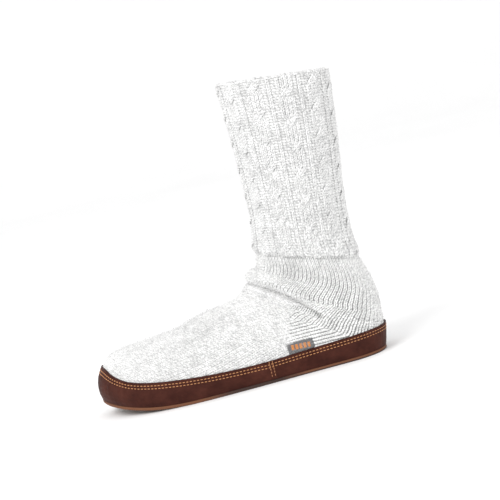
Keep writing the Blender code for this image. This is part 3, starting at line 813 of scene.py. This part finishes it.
def wool_fuzz():
    chance = np.random.default_rng(7)
    wale = chance.uniform(-WALES / 2, WALES / 2, FIBRES)
    line = chance.uniform(1, len(surface_row) - 2, FIBRES)
    start, out, across, down = sock_frame(wale, line)
    turn = chance.uniform(0, 2 * math.pi, FIBRES)[:, None]
    lie = across * np.cos(turn) + down * np.sin(turn)
    side = np.cross(out, lie)
    length = (FIBRE_LENGTH * chance.uniform(0.4, 1.0, FIBRES))[:, None]
    curl = chance.normal(0, FUZZ_CURL, FIBRES)[:, None]
    rise = chance.uniform(*FUZZ_RISE, FIBRES)[:, None]
    points = []
    for share in (0.0, 0.5, 1.0):
        lift = out * (FUZZ_START + rise * math.sin(math.pi * (0.08 + 0.72 * share)))
        middle = start + lie * length * share + side * length * curl * share * share + lift
        half = FIBRE_WIDTH * (1.0 - 0.7 * share)
        points += [middle - side * half, middle + side * half]
    keep = start[:, 2] > FUZZ_FLOOR
    grid = np.stack(points, 1)[keep]
    faces = [(base + k, base + k + 1, base + k + 3, base + k + 2)
             for base in range(0, len(grid) * 6, 6) for k in (0, 2)]
    mesh = new_mesh("wool_fuzz", grid.reshape(-1, 3).tolist(), faces, wool)
    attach(place_in_scene("wool_fuzz", mesh), "root")


wool_fuzz()

# Rand: two bands of oiled dark brown leather, cut edge up, sewn to the sock by two rows of tan thread
# near the top edge and glued to the sole. The front band laps over the rear one on both sides.
LEATHER_DARK = (0.037, 0.0096, 0.0062)
LEATHER_LIGHT = (0.070, 0.0205, 0.0135)
LEATHER_EDGE = (0.036, 0.0105, 0.0060)
SPINE_HEEL = 0.100
SPINE_TOE = -0.092
OUTLINE_LEVEL = 0.0183     # the one height that lies on the band all the way round
HIGHEST_RAND = 0.060
RAND_RAY = 0.12
FACE_RAY = 0.02            # shorter than the way to the far side, so that only this side is met
STATION = 0.001            # between the points of the rand's outline


def value_range(add, join, source, out, low, high):
    """A rise from 0 to 1 as a node's output goes from low to high."""
    node = add("ShaderNodeMapRange", From_Min=low, From_Max=high)
    join(source, out, node, "Value")
    return node


def painted(add, join, share, share_out, base, base_out, colour):
    """A colour over another node's colour, by a share."""
    paint = add("ShaderNodeMix", data_type="RGBA")
    join(share, share_out, paint, "Factor")
    join(base, base_out, paint, "A")
    paint.inputs["B"].default_value = (*colour, 1)
    return paint


def upright_part(add, join):
    """A node whose Z output says how far the surface faces up."""
    upright = add("ShaderNodeSeparateXYZ")
    join(add("ShaderNodeNewGeometry"), "Normal", upright, "Vector")
    return upright


def leather_material():
    made, shader, add, join = new_material("brown_rand_leather")
    cloud = texture(add, join, "ShaderNodeTexNoise", Scale=55.0, Detail=6.0, Roughness=0.65)
    tone = two_colours(add, join, cloud, "Fac", LEATHER_DARK, LEATHER_LIGHT, 0.38, 0.68)
    grain = texture(add, join, "ShaderNodeTexVoronoi", Scale=1500.0)
    crease = texture(add, join, "ShaderNodeTexNoise", Scale=160.0, Detail=5.0, Roughness=0.7)
    edge = value_range(add, join, upright_part(add, join), "Z", 0.55, 0.8)
    paint = painted(add, join, edge, "Result", tone, "Color", LEATHER_EDGE)
    join(paint, "Result", shader, "Base Color")
    deep = add("ShaderNodeBump", Strength=0.35, Distance=0.0006)
    join(crease, "Fac", deep, "Height")
    fine = add("ShaderNodeBump", Strength=0.30, Distance=0.0002)
    join(grain, "Distance", fine, "Height")
    join(deep, "Normal", fine, "Normal")
    join(fine, "Normal", shader, "Normal")
    rough = add("ShaderNodeMapRange", To_Min=0.42, To_Max=0.68)
    join(crease, "Fac", rough, "Value")
    join(rough, "Result", shader, "Roughness")
    shader.inputs["Specular IOR Level"].default_value = 0.09
    return made


leather = leather_material()
rand_trees = []
for node in ("rand_front", "rand_rear"):
    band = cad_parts[node]
    band.data.materials.clear()
    band.data.materials.append(leather)
    rand_trees.append(object_tree(band))
    softened = band.modifiers.new("worn edge", "BEVEL")
    softened.width = 0.0005
    softened.segments = 2
    softened.limit_method = "ANGLE"
    softened.angle_limit = math.radians(50)


def rand_hit(start, way):
    """The nearest point of either band along a ray, or None."""
    hits = [t.ray_cast(Vector(start), Vector(way)) for t in rand_trees]
    hits = [h for h in hits if h[0] is not None]
    return min(hits, key=lambda h: h[3])[0] if hits else None


def rand_outline():
    """Plan stations a millimetre apart round the outside of the rand, from the heel by the lateral side."""
    toe_middle = -SEAM_SHIFT + TOE_BEND * ((SPINE_TOE - BEND_START) / (BEND_END - BEND_START)) ** 2
    rays = [((SPINE_HEEL, -SEAM_SHIFT), (math.cos(a), -math.sin(a))) for a in np.linspace(0, math.pi / 2, 40)]
    rays += [((x, 0.0), (0.0, -1.0)) for x in np.linspace(SPINE_HEEL, SPINE_TOE, 120)[1:-1]]
    rays += [((SPINE_TOE, toe_middle), (-math.sin(a), -math.cos(a))) for a in np.linspace(0, math.pi, 80)]
    rays += [((x, 0.0), (0.0, 1.0)) for x in np.linspace(SPINE_TOE, SPINE_HEEL, 120)[1:-1]]
    rays += [((SPINE_HEEL, -SEAM_SHIFT), (math.sin(a), math.cos(a)))
             for a in np.linspace(0, math.pi / 2, 40)[:-1]]
    line = []
    for (x, y), (dx, dy) in rays:
        hit = rand_hit((x + dx * RAND_RAY, y + dy * RAND_RAY, OUTLINE_LEVEL), (-dx, -dy, 0))
        if hit is not None:
            line.append((hit.x, hit.y))
    line = np.array(line)
    closed_line = np.vstack([line, line[:1]])
    run = np.concatenate([[0], np.cumsum(np.linalg.norm(np.diff(closed_line, axis=0), axis=1))])
    even = np.linspace(0, run[-1], int(run[-1] / STATION) + 1)[:-1]
    line = np.stack([np.interp(even, run, closed_line[:, k]) for k in (0, 1)], 1)
    line = soften(line, 3.0, wrap=True)
    tangent = unit(soften(np.roll(line, -1, axis=0) - np.roll(line, 1, axis=0), 2.0, wrap=True))
    return line, np.stack([tangent[:, 1], -tangent[:, 0]], 1) * -1


outline, outline_out = rand_outline()
if np.sum((outline - outline.mean(0)) * outline_out) < 0:
    outline_out = -outline_out
outline_top = []
for (x, y), (nx, ny) in zip(outline, outline_out):
    low, high = OUTLINE_LEVEL, HIGHEST_RAND
    for _ in range(11):
        level = (low + high) / 2
        hit = rand_hit((x + nx * FACE_RAY, y + ny * FACE_RAY, level), (-nx, -ny, 0))
        near = hit is not None and math.hypot(hit.x - x, hit.y - y) < 0.008
        low, high = (level, high) if near else (low, level)
    outline_top.append(low)
outline_top = soften(np.array(outline_top), 3.0, wrap=True)


def rand_face(station, drop):
    """Points on the rand's outer face, at fractional stations and a drop below its top, and the way out."""
    count = len(outline)
    station, drop = np.broadcast_arrays(np.asarray(station, float), np.asarray(drop, float))
    marks = np.arange(count + 1)
    around = np.column_stack([outline, outline_out, outline_top])
    around = np.vstack([around, around[:1]])
    x, y, nx, ny, top = (np.interp(station % count, marks, values) for values in around.T)
    found = np.zeros((len(x), 3))
    for i in range(len(x)):
        level = top[i] - drop[i]
        hit = rand_hit((x[i] + nx[i] * FACE_RAY, y[i] + ny[i] * FACE_RAY, level), (-nx[i], -ny[i], 0))
        found[i] = hit if hit is not None else (x[i], y[i], level)
    return found, np.stack([nx, ny, np.zeros(len(nx))], 1)


# Topstitching: two rows of waxed tan thread near the rand's top edge, sewn through leather and sock. The
# front band's end lies over the rear band's thinned end, so both rows climb over it there.
LAP_LENGTH = 0.0150
LAP_PROUD = 0.0009
LAP_OVER = 0.0074          # the front band's end reaches this far past the joint underneath
LAP_TAB = 0.0009           # and its corner stands this far above the top edge
rear_ends = np.array([v.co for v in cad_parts["rand_rear"].data.vertices])
laps = []
for side in (-1, 1):
    seam_x = rear_ends[np.sign(rear_ends[:, 1]) == side, 0].min() + LAP_OVER
    on_side = np.flatnonzero(np.sign(outline[:, 1]) == side)
    station = on_side[np.argmin(np.abs(outline[on_side, 0] - seam_x))]
    toward_toe = 1 if outline[(station + 3) % len(outline), 0] < outline[station, 0] else -1
    laps.append((station, toward_toe))


def lap_rise(station):
    """How far the leather stands out at a station because one band lies over the other."""
    rise = np.zeros(np.shape(station))
    for end, toward_toe in laps:
        share = (np.asarray(station, float) - end) * toward_toe * STATION / LAP_LENGTH
        rise = np.where((share >= -0.02) & (share <= 1), LAP_PROUD * (1 - np.clip(share, 0, 1)) ** 0.7, rise)
    return rise


def thread_material(name, colour):
    made, shader, add, join = new_material(name)
    place = add("ShaderNodeAttribute", attribute_name="yarn")
    wave = add("ShaderNodeTexWave", Scale=2.2, Distortion=1.0)
    join(place, "Vector", wave, "Vector")
    tone = two_colours(add, join, wave, "Fac", tuple(0.62 * c for c in colour), colour, 0.25, 0.6)
    join(tone, "Color", shader, "Base Color")
    surface_feel(add, join, shader, wave, "Fac", 0.5, 0.0002, 0.6)
    return made


THREAD_TAN = (0.66, 0.30, 0.115)
THREAD_BROWN = (0.46, 0.20, 0.085)
TOPSTITCH_PITCH = 3.3      # in stations
TOPSTITCH_LENGTH = 0.0028
TOPSTITCH_WIDTH = 0.00085
TOPSTITCH_RISE = 0.00055
TOPSTITCH_ROWS = (("topstitch_upper_row", 0.0026), ("topstitch_lower_row", 0.0052))
tan_thread = thread_material("tan_thread", THREAD_TAN)
brown_thread = thread_material("brown_thread", THREAD_BROWN)


def way_along(points):
    """Unit steps along a closed run of points."""
    return unit(np.roll(points, -1, axis=0) - np.roll(points, 1, axis=0))


for name, drop in TOPSTITCH_ROWS:
    stitch_count = round(len(outline) / TOPSTITCH_PITCH)
    stops = np.arange(stitch_count) * len(outline) / stitch_count
    centre, out = rand_face(stops, drop)
    out = soften(out, 1.0, wrap=True)
    centre = centre + out * lap_rise(stops)[:, None]
    sizes = (TOPSTITCH_LENGTH, TOPSTITCH_WIDTH, TOPSTITCH_RISE)
    strand_mesh(name, centre, way_along(centre), out, *sizes, tan_thread)

# Lap seams of the rand: the front band's end lies over the rear band's thinned end, held by two upright
# rows of brown thread, and its tip stands a little above the top edge.
LAP_FOOT = 0.0042          # the lap ends this far above the floor
LAP_SKIN = 0.00008         # and lies this far off the band
LAP_TURN_IN = 0.0003
LAP_TOP_GAP = 0.0002
LAP_THREAD_ENDS = 0.0010   # the thread keeps this far from the lap's top and foot
LAP_THREAD_PROUD = 0.0002
LAP_THREAD_INSETS = (0.0014, 0.0044)
LAP_THREAD_PITCH = 0.0030
LAP_THREAD_SIZES = (0.0027, 0.0008, 0.0005)    # length, width, rise
across_count, up_count = 9, 12
for (station, toward_toe), name in zip(laps, ("lap_seam_lateral", "lap_seam_medial")):
    tall = outline_top[station] - LAP_FOOT
    drops = np.linspace(LAP_TOP_GAP, tall, up_count)
    layers = []
    for share in np.linspace(0, 1, across_count):
        at = station + toward_toe * share * LAP_LENGTH / STATION
        face, out = rand_face(at, drops)
        layer = face + out * (lap_rise(at) + LAP_SKIN)
        layer[0, 2] += LAP_TAB * (1 - share) ** 2
        layers.append(layer)
        if share in (0, 1):
            layers.insert(0 if share == 0 else len(layers), face - out * LAP_TURN_IN)
    grid = np.array(layers)
    faces = [(a * up_count + b, a * up_count + b + 1, (a + 1) * up_count + b + 1, (a + 1) * up_count + b)
             for a in range(len(grid) - 1) for b in range(up_count - 1)]
    mesh = new_mesh(name, grid.reshape(-1, 3).tolist(), faces, leather)
    mesh.shade_smooth()
    mesh.set_sharp_from_angle(angle=math.radians(50))
    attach(place_in_scene(name, mesh), "root")
    for row, inset in enumerate(LAP_THREAD_INSETS):
        at = station + toward_toe * inset / STATION
        drops = np.arange(LAP_THREAD_ENDS, tall - LAP_THREAD_ENDS, LAP_THREAD_PITCH)
        face, out = rand_face(at, drops)
        centre = face + out * (lap_rise(at) + LAP_THREAD_PROUD)
        along = np.tile([0.0, 0.0, 1.0], (len(centre), 1))
        strand_mesh(f"{name}_thread_{row}", centre, along, out, *LAP_THREAD_SIZES, brown_thread)

# Sole: thin oiled leather, its edge waxed tan at the forefoot and heel and darker at the arch and along
# the bottom behind the forefoot. The footbed inside is a cushion covered in cream fleece.
EDGE_TAN = (0.150, 0.052, 0.018)
EDGE_DARK = (0.035, 0.014, 0.009)
SUEDE_BROWN = (0.16, 0.085, 0.048)
ARCH_FRONT = (-0.045, -0.015)  # x between which the edge turns dark towards the arch
ARCH_BACK = (0.055, 0.030)     # and from the heel's side
# heights between which the edge turns darker towards its bottom
BOTTOM_DARK_BAND = (0.0018, 0.0009)
FLEECE_SHADE = (0.36, 0.31, 0.24)
FLEECE_CREAM = (0.66, 0.60, 0.50)


def two_values(add, join, operation, first, first_out, second, second_out):
    """Two nodes' outputs joined by one operation."""
    node = add("ShaderNodeMath", operation=operation)
    join(first, first_out, node, 0)
    join(second, second_out, node, 1)
    return node


def sole_material():
    made, shader, add, join = new_material("sole_leather")
    place = add("ShaderNodeTexCoord")
    parts = add("ShaderNodeSeparateXYZ")
    join(place, "Object", parts, "Vector")
    wear = texture(add, join, "ShaderNodeTexNoise", Scale=90.0, Detail=5.0)
    arch_front = value_range(add, join, parts, "X", *ARCH_FRONT)
    arch_back = value_range(add, join, parts, "X", *ARCH_BACK)
    ground = value_range(add, join, parts, "Z", *BOTTOM_DARK_BAND)
    arch = two_values(add, join, "MULTIPLY", arch_front, "Result", arch_back, "Result")
    heel = two_values(add, join, "MULTIPLY", arch_front, "Result", ground, "Result")
    dark = two_values(add, join, "MAXIMUM", arch, "Value", heel, "Value")
    spread = add("ShaderNodeMath", operation="MULTIPLY_ADD")
    join(wear, "Fac", spread, 0)
    spread.inputs[1].default_value = 0.5
    spread.inputs[2].default_value = -0.25
    shade = two_values(add, join, "ADD", dark, "Value", spread, "Value")
    shade.use_clamp = True
    side = add("ShaderNodeMix", data_type="RGBA")
    join(shade, "Value", side, "Factor")
    side.inputs["A"].default_value = (*EDGE_TAN, 1)
    side.inputs["B"].default_value = (*EDGE_DARK, 1)
    under = value_range(add, join, upright_part(add, join), "Z", -0.75, -0.9)
    suede = two_colours(add, join, wear, "Fac", tuple(0.6 * c for c in SUEDE_BROWN), SUEDE_BROWN, 0.35, 0.7)
    paint = add("ShaderNodeMix", data_type="RGBA")
    join(under, "Result", paint, "Factor")
    join(side, "Result", paint, "A")
    join(suede, "Color", paint, "B")
    join(paint, "Result", shader, "Base Color")
    nap = texture(add, join, "ShaderNodeTexNoise", Scale=1400.0, Detail=3.0)
    surface_feel(add, join, shader, nap, "Fac", 0.4, 0.0003, 0.7)
    return made


def fleece_material():
    made, shader, add, join = new_material("footbed_fleece")
    curl = texture(add, join, "ShaderNodeTexNoise", Scale=500.0, Detail=5.0, Roughness=0.75)
    tone = two_colours(add, join, curl, "Fac", FLEECE_SHADE, FLEECE_CREAM, 0.3, 0.65)
    join(tone, "Color", shader, "Base Color")
    surface_feel(add, join, shader, curl, "Fac", 0.9, 0.0010, 0.95, 0.5)
    return made


for node, made in (("outsole", sole_material()), ("insole", fleece_material())):
    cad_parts[node].data.materials.clear()
    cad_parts[node].data.materials.append(made)

# Label: a small grey woven label of polyester, sewn in behind the rand's top edge. A row of plain bars is
# woven into its face in orange thread.
LABEL_GREY = (0.155, 0.155, 0.16)
LABEL_ORANGE = (0.72, 0.27, 0.065)
BARS = 5
BARS_START = 0.11          # ends of the row of bars, as shares of the label's length
BARS_SPAN = 0.78
BAR_LOW = 0.0024           # heights above the label's lower edge
BAR_HIGH = 0.0068
BAR_THREAD = 0.00042
BAR_FALL = 0.0011          # the row slopes with the rand's top edge
BAR_LENGTH = 0.98
BAR_WIDTH = 0.00050
BAR_RISE = 0.00020


def label_material():
    made, shader, add, join = new_material("woven_label")
    weave = texture(add, join, "ShaderNodeTexChecker", Scale=2600.0)
    weave.inputs["Color1"].default_value = (*LABEL_GREY, 1)
    weave.inputs["Color2"].default_value = (*(0.68 * c for c in LABEL_GREY), 1)
    fuzz = texture(add, join, "ShaderNodeTexNoise", Scale=700.0, Detail=3.0)
    tone = add("ShaderNodeMix", data_type="RGBA", blend_type="OVERLAY", Factor=0.5)
    join(weave, "Color", tone, "A")
    join(fuzz, "Fac", tone, "B")
    join(tone, "Result", shader, "Base Color")
    surface_feel(add, join, shader, weave, "Fac", 0.5, 0.0002, 0.8)
    return made


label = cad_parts["label"]
label.data.materials.clear()
label.data.materials.append(label_material())
label_low, label_high = (np.array(c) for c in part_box("label"))
label_tree = object_tree(label)
orange_thread = thread_material("orange_label_thread", LABEL_ORANGE)
length = label_high[0] - label_low[0]
bar_step = length * BARS_SPAN / BARS
found = []
for bar in range(BARS):
    x = label_low[0] + length * BARS_START + (bar + 0.5) * bar_step
    slope = (x - label_low[0]) / length
    for lift in np.arange(BAR_LOW, BAR_HIGH, BAR_THREAD):
        level = label_low[2] + lift + BAR_FALL * (1 - slope)
        hit = label_tree.ray_cast(Vector((x, -RAND_RAY, level)), Vector((0, 1, 0)))
        if hit[0] is not None:
            found.append((*hit[0], *hit[1]))
found = np.array(found)
way = np.tile([1.0, 0.0, 0.0], (len(found), 1))
way = unit(way - found[:, 3:] * np.sum(way * found[:, 3:], axis=1)[:, None])
bar_sizes = (bar_step * BAR_LENGTH, BAR_WIDTH, BAR_RISE)
strand_mesh("label_bars", found[:, :3], way, found[:, 3:], *bar_sizes, orange_thread)

# Floor and light: a white seamless floor under a bright, even sky of light, with a large soft lamp in
# front and above to the left and a weaker one to the right.
SOFT_WHITE = (0.93, 0.93, 0.93)
BRIGHT_WHITE = (0.95, 0.95, 0.95)
LAMP_AIM = (0, 0, 0.12)
sweep = [(-6.0, 0.0), (3.0, 0.0)] + [(3.0 + 1.5 * math.sin(a), 1.5 - 1.5 * math.cos(a))
                                     for a in np.linspace(0.1, math.pi / 2, 12)] + [(4.5, 8.0)]
points = [(x, y, z) for y, z in sweep for x in (-9.0, 9.0)]
faces = [(2 * k, 2 * k + 1, 2 * k + 3, 2 * k + 2) for k in range(len(sweep) - 1)]
floor_paint, shader, add, join = new_material("white_floor")
mottle = texture(add, join, "ShaderNodeTexNoise", Scale=3.0, Detail=2.0)
tone = two_colours(add, join, mottle, "Fac", SOFT_WHITE, BRIGHT_WHITE, 0.3, 0.7)
join(tone, "Color", shader, "Base Color")
shader.inputs["Roughness"].default_value = 0.8
mesh = new_mesh("floor", points, faces, floor_paint)
mesh.shade_smooth()
floor = place_in_scene("floor", mesh)

world = bpy.data.worlds.new("studio")
world.use_nodes = True
world.node_tree.nodes["Background"].inputs["Color"].default_value = (1.0, 1.0, 1.0, 1)
world.node_tree.nodes["Background"].inputs["Strength"].default_value = 1.0
bpy.context.scene.world = world
for name, place, size, power in (("key", (-1.3, -1.6, 1.9), 1.4, 38.0), ("fill", (1.5, -1.8, 0.9), 1.6, 9.0)):
    lamp = bpy.data.lights.new(name, "AREA")
    lamp.energy = power
    lamp.size = size
    made = place_in_scene(name, lamp)
    made.location = place
    made.rotation_euler = (Vector(LAMP_AIM) - Vector(place)).to_track_quat("-Z", "Y").to_euler()

# Camera: a little above the collar and square to the shoe's outer side, rolled as the photo's shoe is
# tilted. The focal length is in pixels of the photo's frame, whose half width is the other value.
FOCAL_PIXELS = 1624.6
HALF_WIDTH_PIXELS = 250
EYE = Vector((0.030, -1.5, 0.292))
AIM = Vector((0.030, 0.0, 0.119))
ROLL = math.radians(-14.1)
lens = bpy.data.cameras.new("camera")
lens.angle = 2 * math.atan(HALF_WIDTH_PIXELS / FOCAL_PIXELS)
camera = place_in_scene("camera", lens)
turn = (AIM - EYE).to_track_quat("-Z", "Y").to_matrix().to_4x4()
camera.matrix_world = Matrix.Translation(EYE) @ turn @ Matrix.Rotation(ROLL, 4, "Z")
bpy.context.scene.camera = camera
bpy.context.scene.view_settings.view_transform = "Standard"
